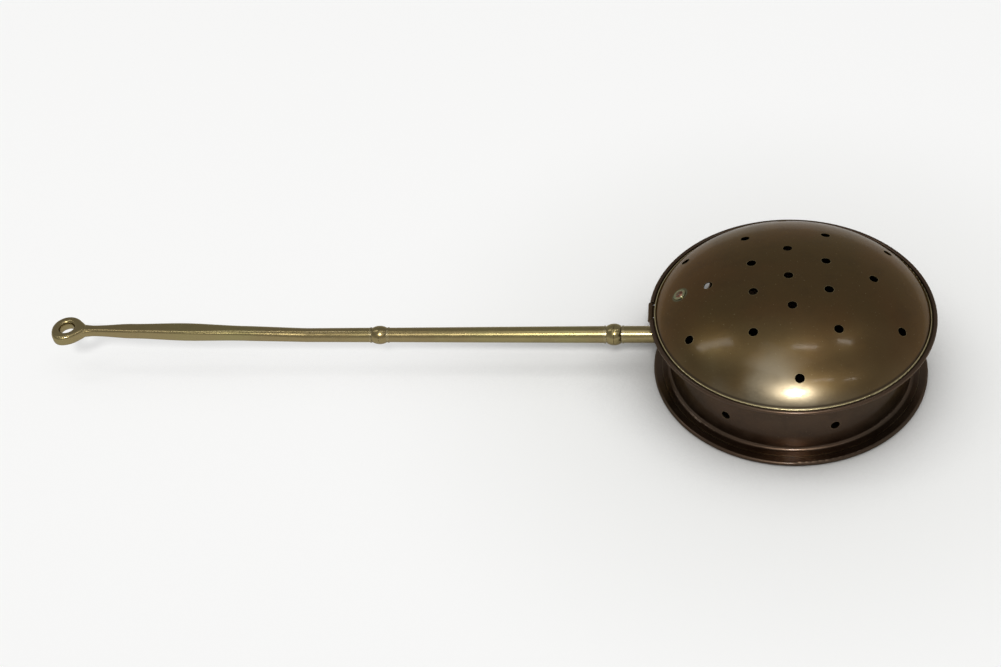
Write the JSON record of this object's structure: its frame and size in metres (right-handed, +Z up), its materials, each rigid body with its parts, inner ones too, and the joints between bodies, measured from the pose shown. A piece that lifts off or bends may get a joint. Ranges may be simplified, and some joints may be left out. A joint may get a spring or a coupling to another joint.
{
  "type": "bed warmer",
  "caption": "Antique brass bed warmer: a drum-shaped ember pan with a wired rim, a pierced domed lid on a strap hinge and a long sectioned handle with turned knops and a hanging eye.",
  "frame": {"origin": "centre of the pan's flat underside", "axes": "+Z up through the lid, the handle runs out along -X and +X points away from it"},
  "size_m": [0.9425, 0.29, 0.1281],
  "materials": {
    "pan_brass": "aged, brown patina, satin",
    "lid_brass": "aged, olive-brown patina, semi-gloss",
    "handle_brass": "aged, hand-polished",
    "hinge_brass": "aged, dull",
    "copper": "aged copper",
    "iron": "plain drawn iron"
  },
  "bodies": {
    "pan": {"pan_wall": "pan_brass", "base_dish": "pan_brass", "rim_wire": "iron", "base_wire": "iron", "hinge_leaf": "hinge_brass", "hinge_pin": "hinge_brass", "leaf_rivets": "copper", "handle_socket": "handle_brass", "socket_rivets": "copper", "front_knop_pan_half": "handle_brass", "front_knop_tube_half": "handle_brass", "rear_knop_tube_half": "handle_brass", "rear_knop_grip_half": "handle_brass", "front_stud": "iron", "rear_stud": "iron", "middle_tube": "handle_brass", "handle_grip": "handle_brass"},
    "lid": {"lid_dome": "lid_brass", "lid_strap": "hinge_brass", "rivet_rove": "lid_brass", "lid_rivet": "copper"}
  },
  "joints": [
    {"name": "lid_hinge", "type": "hinge", "parent": "pan", "child": "lid", "pos_m": [-0.1432, 0, 0.0778], "axis": [0, -1, 0], "range_deg": [0, 162]}
  ]
}
